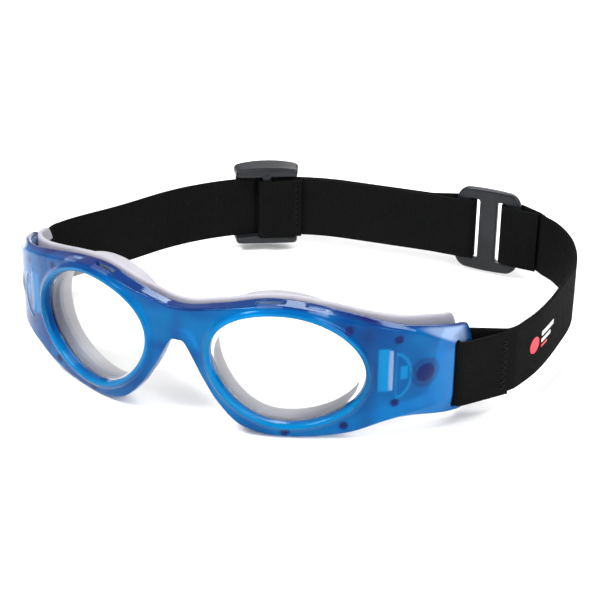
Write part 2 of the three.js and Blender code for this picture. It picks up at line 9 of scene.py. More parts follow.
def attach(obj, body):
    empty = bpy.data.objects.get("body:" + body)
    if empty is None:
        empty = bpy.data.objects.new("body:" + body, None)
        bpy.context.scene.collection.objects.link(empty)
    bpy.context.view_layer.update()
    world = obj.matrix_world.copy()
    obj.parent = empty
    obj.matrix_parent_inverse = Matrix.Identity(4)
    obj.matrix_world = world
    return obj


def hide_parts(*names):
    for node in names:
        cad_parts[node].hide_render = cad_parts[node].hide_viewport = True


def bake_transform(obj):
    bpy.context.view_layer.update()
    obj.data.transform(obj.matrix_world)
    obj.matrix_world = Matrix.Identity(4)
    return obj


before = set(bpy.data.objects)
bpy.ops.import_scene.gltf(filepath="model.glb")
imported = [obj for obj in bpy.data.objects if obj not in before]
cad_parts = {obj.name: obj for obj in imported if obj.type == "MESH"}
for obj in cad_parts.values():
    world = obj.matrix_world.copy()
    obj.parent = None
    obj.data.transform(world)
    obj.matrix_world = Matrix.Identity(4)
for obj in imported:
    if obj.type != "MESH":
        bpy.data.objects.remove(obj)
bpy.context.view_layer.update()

MM = 0.001
# Plan position of the middle of the bridge, and the table's height, in the part's frame.
SHIFT = np.array([-7.994, -79.377, -0.027])

# ---- the wrap: s along the front, z above the table, d behind the outer surface ----

WING_END = 111.5
WALL = 2.2
TOP_EDGE = [(0, 45.4), (14, 48.0), (31, 51.1), (46, 49.9), (62, 46.4), (78, 42.7), (92, 40.0),
            (104, 36.6), (109, 35.0), (WING_END, 32.6)]
LEDGE = [(0, 45.7), (14, 47.8), (31, 50.3), (46, 49.2), (58, 46.0), (76, 42.0), (84, 39.4),
         (92.5, 34.8), (102.6, 29.4), (WING_END, 28.0)]
CREASE = [(0, 32.9), (2.6, 32.3), (9.4, 20.4), (15, 11.8), (23.3, 3.9), (38.4, 0.5), (58.7, 2.2),
          (73.3, 7.2), (84, 9.4), (100, 10.3), (WING_END, 10.4)]
BOTTOM_EDGE = [(0, 32.5), (2.6, 31.9), (9.4, 19.9), (15, 11.3), (23.3, 3.5), (38.4, 0.12), (58.7, 1.6),
               (73.3, 6.2), (84.5, 6.8), (101, 3.2), (109, 1.6), (WING_END, 3.8)]
SHELF_DEPTH = [(0, 5.0), (38, 5.8), (62, 5.0), (80, 3.6), (98, 1.6), (WING_END, 1.4)]
SOLE_DEPTH = [(0, 4.0), (38, 5.0), (62, 4.0), (80, 1.6), (98, 1.0), (WING_END, 0.9)]
EYE_S, EYE_Z, EYE_LONG, EYE_SHORT, EYE_TURN, EYE_POWER, EYE_EGG = 38.5, 26.3, 27, 20.55, -13.35, 1.94, 0.09
LENS_LIP, LENS_FRONT, LENS_THICK = 1.5, 2.9, 2.0
RIM = [(0, -0.8), (0.7, -1.4), (1.9, -1.2), (2.9, 0.6), (3.4, 6.0), (1.9, 6.0), (1.9, 2.6), (0, 2.6)]
GASKET_FRONT, GASKET_PLATE = 6.3, 1.8
GASKET_RISE = [(0, 0.9), (60, 1.0), (80, 1.6), (100, 2.2), (107, 2.2), (111, -0.4)]
GASKET_SOLE = [(0, 34.2), (2.6, 33.6), (9.4, 21.6), (23.3, 5.4), (38.4, 1.6), (58.7, 3.6), (73.3, 9.0),
               (90, 11.0), (94, 14.0), (99, 31.6), (111, 31.8)]
GASKET_END = 111
SKIRT = [(0.2, 5.2), (1.55, 5.2), (1.55, 6.4), (4.4, 6.4), (4.2, 9.0), (3.0, 13.5), (1.6, 14.0),
         (0.9, 12.0), (0.4, 8.0)]
PEGS = [(38.4, 2.6), (59.5, 42.3), (58.4, 5.4), (75.6, 14.0), (76.4, 38.3)]
TOP_VENTS = [(28.4, 37.4), (45.6, 52.6)]
STUD_S, STUD_Z, STUD_HEAD, STUD_FLANGE = 86.5, 24.1, 3.7, 5.2


def through(points, s):
    """Cubic through the points at |s|, level at the first one."""
    p = np.array(points, float)
    x = np.clip(np.abs(s), p[0, 0], p[-1, 0])
    i = np.clip(np.searchsorted(p[:, 0], x, side="left") - 1, 0, len(p) - 2)
    slope = np.zeros(len(p))
    slope[1:-1] = (p[2:, 1] - p[:-2, 1]) / (p[2:, 0] - p[:-2, 0])
    slope[-1] = (p[-1, 1] - p[-2, 1]) / (p[-1, 0] - p[-2, 0])
    h = p[i + 1, 0] - p[i, 0]
    t = (x - p[i, 0]) / h
    rise = p[i + 1, 1] - p[i, 1]
    m0, m1 = slope[i] * h, slope[i + 1] * h
    return p[i, 1] + t * (m0 + t * (3 * rise - 2 * m0 - m1 + t * (m0 + m1 - 2 * rise)))


def smoothstep(x, a, b):
    t = np.clip((x - a) / (b - a), 0, 1)
    return t * t * (3 - 2 * t)


def wrap_angle(s):
    return np.radians(23 * smoothstep(s, 0, 42) + 66 * smoothstep(s, 58, 122))


WRAP_S = np.arange(0, 125.01, 0.5)
MIDWAY = wrap_angle(WRAP_S[:-1] + 0.25)
WRAP_X = np.concatenate([[0], np.cumsum(0.5 * np.cos(MIDWAY))])
WRAP_Y = np.concatenate([[0], np.cumsum(0.5 * np.sin(MIDWAY))])


def on_wrap(s, d=0.0):
    """Plan position of the point at s and d."""
    at = np.abs(s)
    a = wrap_angle(at)
    x = np.interp(at, WRAP_S, WRAP_X) - d * np.sin(a)
    y = np.interp(at, WRAP_S, WRAP_Y) + d * np.cos(a)
    return np.where(s < 0, -x, x), y


def wrap_points(szd):
    x, y = on_wrap(szd[:, 0], szd[:, 2])
    return np.stack([x, y, szd[:, 1]], 1)


# ---- meshes ----

def placed(name, points, faces, body=None, smooth=True):
    """Mesh object from points in millimetres, in the plan frame of the bridge."""
    mesh = bpy.data.meshes.new(name)
    mesh.from_pydata(((points + SHIFT) * MM).tolist(), [], [list(f) for f in faces])
    mesh.validate()
    if smooth:
        mesh.polygons.foreach_set("use_smooth", [True] * len(mesh.polygons))
    obj = bpy.data.objects.new(name, mesh)
    bpy.context.scene.collection.objects.link(obj)
    if body:
        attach(obj, body)
    return obj


def polygon_distance(x, y, corners):
    """Signed distance to a polygon, negative inside; its corners may vary along the grid."""
    best = None
    inside = False
    for i in range(len(corners)):
        (ax, ay), (bx, by) = corners[i], corners[i - 1]
        ex, ey = bx - ax, by - ay
        wx, wy = x - ax, y - ay
        t = np.clip((wx * ex + wy * ey) / (ex * ex + ey * ey), 0, 1)
        far = (wx - ex * t) ** 2 + (wy - ey * t) ** 2
        best = far if best is None else np.minimum(best, far)
        c1, c2, c3 = y >= ay, y < by, ex * wy > ey * wx
        inside = inside ^ ((c1 & c2 & c3) | (~c1 & ~c2 & ~c3))
    return np.where(inside, -1, 1) * np.sqrt(best)


def inset(corners, r):
    """The polygon's corners moved in by r."""
    p = [np.array([x + 0 * corners[0][0], y + 0 * corners[0][1]]) for x, y in corners]
    area = sum(p[i - 1][0] * p[i][1] - p[i][0] * p[i - 1][1] for i in range(len(p)))
    way = np.sign(area.flat[0]) if hasattr(area, "flat") else np.sign(area)
    out = []
    for i in range(len(p)):
        u = p[i] - p[i - 1]
        v = p[(i + 1) % len(p)] - p[i]
        u = u / np.hypot(u[0], u[1])
        v = v / np.hypot(v[0], v[1])
        a = way * np.array([-u[1], u[0]])
        b = way * np.array([-v[1], v[0]])
        m = (a + b) / (1 + a[0] * b[0] + a[1] * b[1])
        out.append(tuple(p[i] + r * m))
    return out


def rounded(x, y, corners, r):
    return polygon_distance(x, y, inset(corners, r)) - r


def join(a, b, k=0.0):
    """Union, with a fillet of about k."""
    if not k:
        return np.minimum(a, b)
    h = np.clip(0.5 + 0.5 * (b - a) / k, 0, 1)
    return b + (a - b) * h - k * h * (1 - h)


def cut(a, b, k=0.0):
    """a without b."""
    return -join(-a, b, k)


def span(x, lo, hi):
    """Signed distance to a slab."""
    return np.maximum(lo - x, x - hi)


def surface_net(field, axes):
    """Closed quad mesh where the field changes sign, as points on the axes and faces."""
    inside = field < 0
    corners = [(i, j, k) for i in (0, 1) for j in (0, 1) for k in (0, 1)]
    shape = tuple(n - 1 for n in field.shape)

    def window(a, c):
        return a[c[0]:c[0] + shape[0], c[1]:c[1] + shape[1], c[2]:c[2] + shape[2]]

    total = sum(window(inside, c).astype(np.int8) for c in corners)
    active = (total > 0) & (total < 8)
    index = np.full(shape, -1, int)
    index[active] = np.arange(active.sum())
    cells = np.argwhere(active)
    pos = np.zeros(cells.shape)
    count = np.zeros(len(cells))
    value = {c: window(field, c)[active] for c in corners}
    for a in corners:
        for axis in range(3):
            if a[axis]:
                continue
            b = tuple(1 if m == axis else a[m] for m in range(3))
            crossing = (value[a] < 0) != (value[b] < 0)
            gap = np.where(crossing, value[a] - value[b], 1)
            step = np.tile(np.array(a, float), (len(cells), 1))
            step[:, axis] = np.where(crossing, value[a] / gap, 0)
            pos += step * crossing[:, None]
            count += crossing
    at = cells + pos / count[:, None]
    points = np.stack([np.interp(at[:, m], np.arange(len(axes[m])), axes[m]) for m in range(3)], 1)
    quads = []
    for axis in range(3):
        lo = np.moveaxis(inside, axis, 0)
        ids = np.moveaxis(index, axis, 0)
        change = lo[:-1, 1:-1, 1:-1] != lo[1:, 1:-1, 1:-1]
        i, j, k = np.nonzero(change)
        q = np.stack([ids[i, j, k], ids[i, j + 1, k], ids[i, j + 1, k + 1], ids[i, j, k + 1]], 1)
        flip = lo[:-1, 1:-1, 1:-1][i, j, k] ^ (axis == 1)
        q[~flip] = q[~flip][:, ::-1]
        quads.append(q)
    return points, np.concatenate(quads)


def relax(points, faces, rounds=2, share=0.5):
    """Moves each point towards the middle of its neighbours."""
    edges = np.concatenate([faces[:, [m, (m + 1) % 4]] for m in range(4)])
    for _ in range(rounds):
        total = np.zeros(points.shape)
        count = np.zeros(len(points))
        for a, b in ((0, 1), (1, 0)):
            np.add.at(total, edges[:, a], points[edges[:, b]])
            np.add.at(count, edges[:, a], 1)
        points = points + share * (total / count[:, None] - points)
    return points


def grid(*ranges):
    axes = [np.linspace(a, b, int(round((b - a) / step)) + 1) for a, b, step in ranges]
    return axes, [a.reshape([-1 if m == n else 1 for m in range(3)]) for n, a in enumerate(axes)]


# ---- the front ----

def eye_outline(grow=0.0, steps=120):
    """Points of the lens opening's edge in s and z, moved out by grow."""
    def at(u):
        c, q = np.cos(u), np.sin(u)
        cu = np.sign(c) * np.abs(c) ** (2 / EYE_POWER)
        cv = np.sign(q) * np.abs(q) ** (2 / EYE_POWER)
        a, b = EYE_LONG * cu * (1 + EYE_EGG * cv), EYE_SHORT * cv
        turn = math.radians(EYE_TURN)
        return np.stack([a * math.cos(turn) - b * math.sin(turn), a * math.sin(turn) + b * math.cos(turn)], 1)

    t = np.arange(steps) / steps * 2 * math.pi
    along = at(t + 0.02) - at(t - 0.02)
    along /= np.linalg.norm(along, axis=1)[:, None]
    p = at(t)
    return np.stack([EYE_S + p[:, 0] + grow * along[:, 1], EYE_Z + p[:, 1] - grow * along[:, 0]], 1)


def eye_distance(s, z):
    outline = [tuple(p) for p in eye_outline()]
    return polygon_distance(np.abs(s) + 0 * z, z + 0 * s, outline)


def tube(s, z, d, line, depth, radius):
    """Signed distance to a thread laid along points of the surface."""
    best = None
    x = np.abs(s)
    for (s0, z0), (s1, z1) in zip(line[:-1], line[1:]):
        e = (s1 - s0, z1 - z0)
        t = np.clip(((x - s0) * e[0] + (z - z0) * e[1]) / (e[0] ** 2 + e[1] ** 2), 0, 1)
        far = np.sqrt((x - s0 - t * e[0]) ** 2 + (z - z0 - t * e[1]) ** 2 + (d - depth) ** 2) - radius
        best = far if best is None else np.minimum(best, far)
    return best


def arc_line(centre, radii, a0, a1, steps=12):
    angles = np.radians(np.linspace(a0, a1, steps + 1))
    return [(centre[0] + radii[0] * math.cos(a), centre[1] + radii[1] * math.sin(a)) for a in angles]


def block(s, z, d, ss, zz, dd, r=0.3):
    """Signed distance to a box with rounded edges, on both sides of the bridge."""
    parts = [span(np.abs(s), *ss) + r, span(z, *zz) + r, span(d, *dd) + r]
    outside = np.sqrt(sum(np.maximum(p, 0) ** 2 for p in parts))
    return outside + np.minimum(np.maximum(np.maximum(parts[0], parts[1]), parts[2]), 0) - r


def shell_section(s):
    """Corners of the front's wall at s, as depth and height: its outer side and then its inner side."""
    sole, bottom, crease = through(SOLE_DEPTH, s), through(BOTTOM_EDGE, s), through(CREASE, s)
    shelf, top, ledge = through(SHELF_DEPTH, s), through(TOP_EDGE, s), through(LEDGE, s)
    high, low = np.hypot(shelf, top - ledge), np.hypot(sole, bottom - crease)
    up = ((top - ledge) / high, -shelf / high)
    down = ((crease - bottom) / low, sole / low)
    outer = [(sole, bottom), (0 * s, crease), (0 * s, ledge), (shelf, top)]
    inner = [(shelf + WALL * up[0], top + WALL * up[1]),
             (WALL + 0 * s, ledge + WALL * up[1] / (1 + up[0])),
             (WALL + 0 * s, crease + WALL * down[1] / (1 + down[0])),
             (sole + WALL * down[0], bottom + WALL * down[1])]
    return outer + inner


def front_frame():
    axes, (s, z, d) = grid((-112.8, 112.8, 0.6), (-1.1, 53.0, 0.5), (-2.4, 7.6, 0.36))
    field = rounded(d, z, shell_section(s), 0.55)
    field = np.maximum(field, np.abs(s) - WING_END)
    eye = eye_distance(s, z)
    field = cut(field, eye - 0.3 + 0 * d, 0.5)
    field = join(field, rounded(eye + 0 * d, d + 0 * eye, RIM, 0.35), 0.9)
    field = cut(field, np.maximum(eye - LENS_LIP - 0.3, 2.6 - d))
    field = cut(field, block(s, z, d, (100.3, 103.4), (5.0, 31.0), (-9, 14), 1.2), 0.5)
    field = cut(field, block(s, z, d, (69.6, 73.6), (18.6, 35.0), (1.0, 4.4)), 0.3)
    field = cut(field, block(s, z, d, (77.4, 79.8), (23.2, 28.0), (1.0, 4.4)), 0.3)
    for vent in TOP_VENTS:
        field = cut(field, block(s, z, d, vent, (48.2, 54), (2.4, 4.4)))
    rib = tube(s, z, d, [(74.0, 19.0), (74.5, 27.0), (74.0, 34.6)], 0.05, 0.5)
    arc = tube(s, z, d, arc_line((75.2, 24.6), (5.9, 8.6), 88, -88), 0.05, 0.4)
    boss = np.sqrt((np.abs(s) - STUD_S) ** 2 + (z - STUD_Z) ** 2) - 5.2
    boss = np.maximum(boss, -0.5 - d + 0.035 * (boss + 5.2) ** 2)
    field = join(field, np.maximum(boss, d - 1.0), 0.5)
    for ridge in (rib, arc):
        field = join(field, ridge, 0.35)
    for ps, pz in PEGS:
        peg = np.sqrt((np.abs(s) - ps) ** 2 + (z - pz) ** 2) - 1.2
        field = cut(field, np.maximum(peg, 0.9 - d))
    points, quads = surface_net(field, axes)
    points = relax(points, quads)
    obj = placed("blue_front", wrap_points(points), quads[:, ::-1], "front")
    # Masks of painted light, of the pale gasket with painted light, and of painted shade with the dark stud.
    for name, values in zip(("painted_light", "gasket_and_painted_light", "painted_shade_and_stud"), wall_tones(*points.T)):
        obj.data.attributes.new(name, "FLOAT", "POINT").data.foreach_set("value", values.astype(np.float32))
    return obj


def patch(x, lo, hi, soft):
    """1 between lo and hi, fading out over soft."""
    return smoothstep(x, lo - soft, lo) * (1 - smoothstep(x, hi, hi + soft))


def wall_tones(s, z, d):
    """The material's three masks: painted light, where light shines through the thin window and port and as
    painted highlights on the rim, bridge and arc; the pale gasket behind the wing's upper facet, with painted
    light in the top vents and a painted highlight line by the window; painted shade along the top edge, in a
    band, round the pegs and round the dark stud, which shows through.
    """
    x = np.abs(s)
    # Painted light: lighter where light shines through the thin window and port.
    painted_light = patch(x, 69.9, 73.3, 0.6) * patch(z, 19.2, 34.6, 0.8)
    painted_light = np.maximum(painted_light, 0.9 * patch(x, 77.5, 79.7, 0.5) * patch(z, 23.4, 27.8, 0.6))
    # Painted highlights along the lens opening's rim and on the bridge.
    rim = eye_distance(s, z)
    painted_light = np.maximum(painted_light, 0.75 * patch(rim, 0.2, 1.3, 0.5) * smoothstep(-d, -0.6, 0.2))
    painted_light = np.maximum(painted_light, 0.35 * patch(x, 5, 16, 6) * patch(z, 33, 41, 4))
    ledge, top = through(LEDGE, s), through(TOP_EDGE, s)
    # Pale gasket seen through the wing's upper facet, with a painted highlight on it.
    gasket_and_painted_light = smoothstep(z - ledge, 0.3, 1.5) * smoothstep(x, 82, 92) * (1 - smoothstep(x, 104, 110))
    # Painted light in the top vents.
    for low, high in TOP_VENTS:
        window = patch(x, low + 0.4, high - 0.4, 0.4) * smoothstep(z - ledge, -2.4, -1.9)
        gasket_and_painted_light = np.maximum(gasket_and_painted_light, 0.9 * window * patch(d, 0.3, 4.6, 0.4))
    # Painted highlight line down the window's right edge.
    gasket_and_painted_light = np.maximum(gasket_and_painted_light, patch(x, 73.5, 74.5, 0.25) * patch(z, 19.5, 34.2, 0.6) * (d < 0.2))
    # Painted highlight along the raised arc.
    arc = polygon_distance(x, z, arc_line((75.2, 24.6), (5.9, 8.6), 88, -88, 8))
    painted_light = np.maximum(painted_light, 0.7 * patch(np.abs(arc), -1, 0.35, 0.3) * (x > 75.8) * (d < 0.2))
    # Painted shade along the top edge, and darker in a band near s = 66.
    painted_shade_and_stud = 0.75 * smoothstep(z - top, -1.3, -0.3) + 0.35 * smoothstep(x, 60, 66) * (1 - smoothstep(x, 66, 72))
    # Painted shade round the peg holes.
    for ps, pz in PEGS:
        painted_shade_and_stud = np.maximum(painted_shade_and_stud, 1 - smoothstep(np.hypot(x - ps, z - pz), 1.2, 2.0))
    # The dark stud showing through the wall, with painted shade round it.
    far = np.hypot(x - STUD_S, z - STUD_Z)
    painted_shade_and_stud = np.maximum(painted_shade_and_stud, 1.0 - smoothstep(far, 3.3, 3.8))
    painted_shade_and_stud = np.maximum(painted_shade_and_stud, 0.5 * (1 - smoothstep(far, 5.2, 6.2)))
    return painted_light, gasket_and_painted_light * (1 - painted_shade_and_stud), np.clip(painted_shade_and_stud, 0, 1)


def face_gasket():
    axes, (s, z, d) = grid((-112.4, 112.4, 0.7), (-0.2, 54.0, 0.6), (0.6, 15.2, 0.42))
    low = through(GASKET_SOLE, s)
    high = through(TOP_EDGE, s) + through(GASKET_RISE, s)
    plate = [(GASKET_FRONT + 0 * s, low), (GASKET_FRONT + 0 * s, high),
             (GASKET_FRONT + GASKET_PLATE + 0 * s, high), (GASKET_FRONT + GASKET_PLATE + 0 * s, low)]
    field = rounded(d, z, plate, 0.6)
    field = np.maximum(field, np.abs(s) - GASKET_END)
    eye = eye_distance(s, z)
    field = cut(field, eye - 1.2 + 0 * d)
    field = join(field, rounded(eye + 0 * d, d + 0 * eye, SKIRT, 0.25), 1.2)
    for ps, pz in PEGS:
        peg = np.sqrt((np.abs(s) - ps) ** 2 + (z - pz) ** 2) - 0.9
        field = join(field, np.maximum(peg, span(d, 1.2, 7.0)), 0.2)
    points, quads = surface_net(field, axes)
    points = wrap_points(relax(points, quads, 3))
    return placed("soft_gasket", points, quads[:, ::-1], "front")


def lens(side):
    """Clear lens: the opening's outline grown into its rabbet, as a curved plate."""
    steps, rings = 96, 10
    edge = eye_outline(LENS_LIP - 0.05, steps) - (EYE_S, EYE_Z)
    layers = [(LENS_FRONT, share) for share in np.linspace(0, 1, rings + 1)[1:]]
    layers += [(LENS_FRONT + LENS_THICK, share) for share in np.linspace(1, 0, rings + 1)[:-1]]
    points = [wrap_points(np.array([[side * EYE_S, EYE_Z, LENS_FRONT]]))]
    for d, share in layers:
        at = edge * share + (EYE_S, EYE_Z)
        szd = np.stack([side * at[:, 0], at[:, 1], np.full(steps, d)], 1)
        points.append(wrap_points(szd))
    points.append(wrap_points(np.array([[side * EYE_S, EYE_Z, LENS_FRONT + LENS_THICK]])))
    points = np.concatenate(points)
    faces = []
    last = len(points) - 1
    for k in range(steps):
        l = (k + 1) % steps
        faces.append((0, 1 + k, 1 + l))
        for r in range(2 * rings - 1):
            a = 1 + r * steps
            faces.append((a + k, a + steps + k, a + steps + l, a + l))
        a = 1 + (2 * rings - 1) * steps
        faces.append((a + l, a + k, last))
    if side < 0:
        faces = [f[::-1] for f in faces]
    return placed("clear_lens_" + ("right" if side > 0 else "left"), points, faces, "front")


def turned(name, side, profile, segments=40):
    """Turned piece on the wrap from [radius, depth] points."""
    ox, oy = on_wrap(side * STUD_S)
    ix, iy = on_wrap(side * STUD_S, 1.0)
    inward = np.array([ix - ox, iy - oy, 0.0])
    across = np.array([-inward[1], inward[0], 0.0])
    base = np.array([float(ox), float(oy), STUD_Z])
    points = []
    for r, d in profile:
        for m in range(segments):
            a = 2 * math.pi * m / segments
            spoke = math.cos(a) * across + math.sin(a) * np.array([0, 0, 1.0])
            points.append(base + d * inward + r * spoke)
    faces = [tuple(range(segments))[::-1], tuple((len(profile) - 1) * segments + m for m in range(segments))]
    for i in range(len(profile) - 1):
        for m in range(segments):
            n = (m + 1) % segments
            a = i * segments
            faces.append((a + m, a + n, a + segments + n, a + segments + m))
    return placed(name, np.array(points), faces, "front")


def temple_stud(side):
    h, f = STUD_HEAD, STUD_FLANGE
    profile = [(h * 0.55, 2.5), (h * 0.9, 2.58), (h, 2.85), (h, 3.6), (h + 0.25, 3.9), (f - 0.3, 3.9),
               (f, 4.2), (f, 5.7), (f - 0.3, 6.0), (f * 0.5, 6.0)]
    return turned("temple_rivet_" + ("right" if side > 0 else "left"), side, profile)


# ---- webbing ----

WEB_WIDTH, WEB_THICK, WEB_MIDDLE = 25.2, 1.2, 18.0
BUCKLE_RISE = 1.4
FOLD_RADIUS = 0.15
WEB_EDGE = 0.42
WING_BAR_AT, WING_BAR_DEPTH, WING_BAR_ROOM = (104.6, 110.3), 1.2, 2.5
RIGHT_SEAM, LEFT_SEAM = np.array([99.1, 59.4]), np.array([-88.5, 62.4])
RIGHT_STRAP = [(100.4, 61.7), (104.6, 78.6), (106.2, 99), (105.8, 118), (99.8, 135), (91, 147), (82.6, 153)]
LEFT_STRAP = [(-88.8, 64.4), (-83.9, 75.6), (-73.6, 92.6)]
BACK_CENTRE, BACK_RADIUS, BACK_ARC = np.array([8.6, 66.9]), 84.0, (94.7, 149.8)
SLIDER_ANGLE, SLIDER_SEAM = 118.4, 14.5
SLIDER_LOOP_ROOM, SLIDER_LOOP_HALF = 1.35, 1.2
RING_X, RING_Y, RING_WIDTH, RING_HEIGHT, RING_BAR = 59.5, 156.5, 26.4, 36.0, 6.1
RING_LOOP_ROOM, RING_LOOP_INSET = 2.15, 1.3
RIGHT_RING_SEAM, LEFT_RING_END = np.array([81.0, 154.0]), np.array([36.5, 154.2])


def back_point(angle, out=0.0):
    a = math.radians(angle)
    return BACK_CENTRE + (BACK_RADIUS + out) * np.array([math.cos(a), math.sin(a)])


def beside_slider(along, out):
    return back_point(SLIDER_ANGLE - math.degrees(along / BACK_RADIUS), out)


def hull(points):
    pts = sorted(map(tuple, points))

    def half(seq):
        out = []
        for p in seq:
            while len(out) > 1:
                (ax, ay), (bx, by) = out[-2], out[-1]
                if (bx - ax) * (p[1] - ay) - (by - ay) * (p[0] - ax) > 1e-9:
                    break
                out.pop()
            out.append(p)
        return out[:-1]
    return np.array(half(pts) + half(pts[::-1]))


def around(circles, seam):
    """Open middle line of webbing pulled round circles, from one side of the seam to the other."""
    points = []
    for (x, y), r in circles + [(seam, FOLD_RADIUS)]:
        for m in range(64):
            a = 2 * math.pi * m / 64
            points.append((x + (r + WEB_THICK / 2) * math.cos(a), y + (r + WEB_THICK / 2) * math.sin(a)))
    line = hull(points)
    near = np.linalg.norm(line - seam, axis=1) < FOLD_RADIUS + WEB_THICK / 2 + 0.02
    start = next(i for i in range(len(line)) if near[i - 1] and not near[i])
    line = np.roll(line, -start, axis=0)
    near = np.roll(near, -start)
    return np.concatenate([line[-1:], line[~near], line[len(line[~near]):len(line[~near]) + 1]])


def spline(points, step=1.0):
    """Centripetal curve through plan points, at even steps."""
    p = np.array(points, float)
    p = np.concatenate([[2 * p[0] - p[1]], p, [2 * p[-1] - p[-2]]])
    out = []
    for i in range(1, len(p) - 2):
        for t in np.linspace(0, 1, 24, endpoint=False):
            a, b, c, e = p[i - 1], p[i], p[i + 1], p[i + 2]
            out.append(0.5 * (2 * b + (c - a) * t + (2 * a - 5 * b + 4 * c - e) * t ** 2
                              + (3 * b - a - 3 * c + e) * t ** 3))
    out.append(p[-2])
    return even(np.array(out), step)


def lengths(line):
    return np.concatenate([[0], np.cumsum(np.linalg.norm(np.diff(line, axis=0), axis=1))])


def even(line, step):
    at = lengths(line)
    to = np.linspace(0, at[-1], max(2, int(round(at[-1] / step)) + 1))
    return np.stack([np.interp(to, at, line[:, m]) for m in range(line.shape[1])], 1)


def softened(line, step=0.5, reach=0.8):
    """Even line whose corners are rounded; its ends stay."""
    line = even(line, step)
    n = int(round(3 * reach / step))
    weights = np.exp(-0.5 * (np.arange(-n, n + 1) * step / reach) ** 2)
    weights /= weights.sum()
    before = 2 * line[0] - line[1:n + 1][::-1]
    after = 2 * line[-1] - line[-n - 1:-1][::-1]
    padded = np.concatenate([before, line, after])
    return np.stack([np.convolve(padded[:, m], weights, "valid") for m in range(2)], 1)


def rise(x, y):
    """How much higher the band stands at a plan point than at the wings."""
    return BUCKLE_RISE * smoothstep(y, 60, 135) * smoothstep(x, -90, 5)


def web_section():
    """Half-thickness and height of points round the webbing's cross-section."""
    t, w, r = WEB_THICK / 2, WEB_WIDTH / 2, WEB_EDGE
    side = np.linspace(-(w - 1.2), w - 1.2, 9)
    turn = [(r * math.sin(a), r * math.cos(a)) for a in np.radians((0, 30, 60, 90))]
    ring = [(t - r + x, -w + r - y) for x, y in turn]
    ring += [(t, z) for z in side]
    ring += [(t - r + y, w - r + x) for x, y in turn]
    ring += [(-t + r - x, w - r + y) for x, y in turn]
    ring += [(-t, z) for z in side[::-1]]
    ring += [(-t + r - y, -w + r - x) for x, y in turn]
    return ring


def webbing(name, line, start=0.0, body=None):
    """Flat elastic webbing along an even plan line, with UVs in centimetres along and across it."""
    section = web_section()
    n = len(section)
    tangent = np.gradient(line, axis=0)
    tangent /= np.linalg.norm(tangent, axis=1)[:, None]
    normal = np.stack([-tangent[:, 1], tangent[:, 0]], 1)
    at = lengths(line)
    points = []
    for i, p in enumerate(line):
        for off, z in section:
            points.append((p[0] + off * normal[i, 0], p[1] + off * normal[i, 1], WEB_MIDDLE + rise(*p) + z))
    faces, uvs = [], []
    for i in range(len(line) - 1):
        for k in range(n):
            l = (k + 1) % n
            faces.append((i * n + k, i * n + l, (i + 1) * n + l, (i + 1) * n + k))
            u0, u1 = (start + at[i]) / 10, (start + at[i + 1]) / 10
            v0, v1 = section[k][1] / 10, section[l][1] / 10
            uvs += [(u0, v0), (u0, v1), (u1, v1), (u1, v0)]
    for i, order in ((0, 1), (len(line) - 1, -1)):
        cap = [i * n + k for k in range(n)][::-order]
        faces.append(tuple(cap))
        uvs += [((start + at[i]) / 10, section[k - i * n][1] / 10) for k in cap]
    obj = placed(name, np.array(points), faces, body)
    layer = obj.data.uv_layers.new(name="weave")
    layer.data.foreach_set("uv", np.array(uvs).ravel())
    return obj


def bars_on_wrap(side):
    out = []
    for s in WING_BAR_AT:
        x, y = on_wrap(side * s, WING_BAR_DEPTH)
        out.append((np.array([float(x), float(y)]), WING_BAR_ROOM))
    return out


def ring_bars(side):
    outer = RING_X + side * RING_WIDTH / 2
    inner = outer - side * RING_BAR
    return [(np.array([x, RING_Y]), RING_LOOP_ROOM)
            for x in (outer - side * RING_LOOP_INSET, inner + side * RING_LOOP_INSET)]


def split(line, *places):
    """Pieces of an even line, cut at the points nearest to the given ones."""
    cuts = [int(np.argmin(np.linalg.norm(line - np.array(p), axis=1))) for p in places]
    ends = [0] + cuts + [len(line) - 1]
    return [line[a:b + 1] for a, b in zip(ends[:-1], ends[1:])]


def right_band():
    """Short strap: free end outside the wing, round its bar, along the side and round the ring's bar."""
    wing = around(bars_on_wrap(1), RIGHT_SEAM)
    if wing[0][0] < wing[-1][0]:
        wing = wing[::-1]
    ring = around(ring_bars(1), RIGHT_RING_SEAM)
    if ring[0][1] < ring[-1][1]:
        ring = ring[::-1]
    line = softened(np.concatenate([wing, spline(RIGHT_STRAP)[2:-2], ring]))
    return line


def left_band():
    """Long strap: round the wing's bar, along the back, round the ring's bar and back to the slider."""
    wing = around(bars_on_wrap(-1), LEFT_SEAM)
    if wing[0][0] > wing[-1][0]:
        wing = wing[::-1]
    side = spline(LEFT_STRAP + [tuple(back_point(150.3, 0.75))])
    outer = [back_point(a, 0.75) for a in np.arange(149.8, BACK_ARC[0], -0.5)]
    ring = around(ring_bars(-1), LEFT_RING_END)
    if ring[0][1] < ring[-1][1]:
        ring = ring[::-1]
    slide = SLIDER_ANGLE - math.degrees(SLIDER_SEAM / BACK_RADIUS)
    inner = [back_point(a, -0.75) for a in np.arange(BACK_ARC[0], slide - 1.5, 0.5)]
    middle = -0.15 - WEB_THICK - SLIDER_LOOP_ROOM
    bars = [(beside_slider(x, middle), SLIDER_LOOP_ROOM) for x in (-SLIDER_LOOP_HALF, SLIDER_LOOP_HALF)]
    fold = around(bars, beside_slider(SLIDER_SEAM, -0.3 - WEB_THICK))
    if np.linalg.norm(fold[0] - BACK_CENTRE) < np.linalg.norm(fold[-1] - BACK_CENTRE):
        fold = fold[::-1]
    return softened(np.concatenate([wing, side[2:-1], outer, ring, inner, fold]))


# ---- buckles ----

def rounded_box(x, y, z, half, r):
    q = [np.abs(v) - h + r for v, h in zip((x, y, z), half)]
    outside = np.sqrt(sum(np.maximum(v, 0) ** 2 for v in q))
    return outside + np.minimum(np.maximum(np.maximum(q[0], q[1]), q[2]), 0) - r


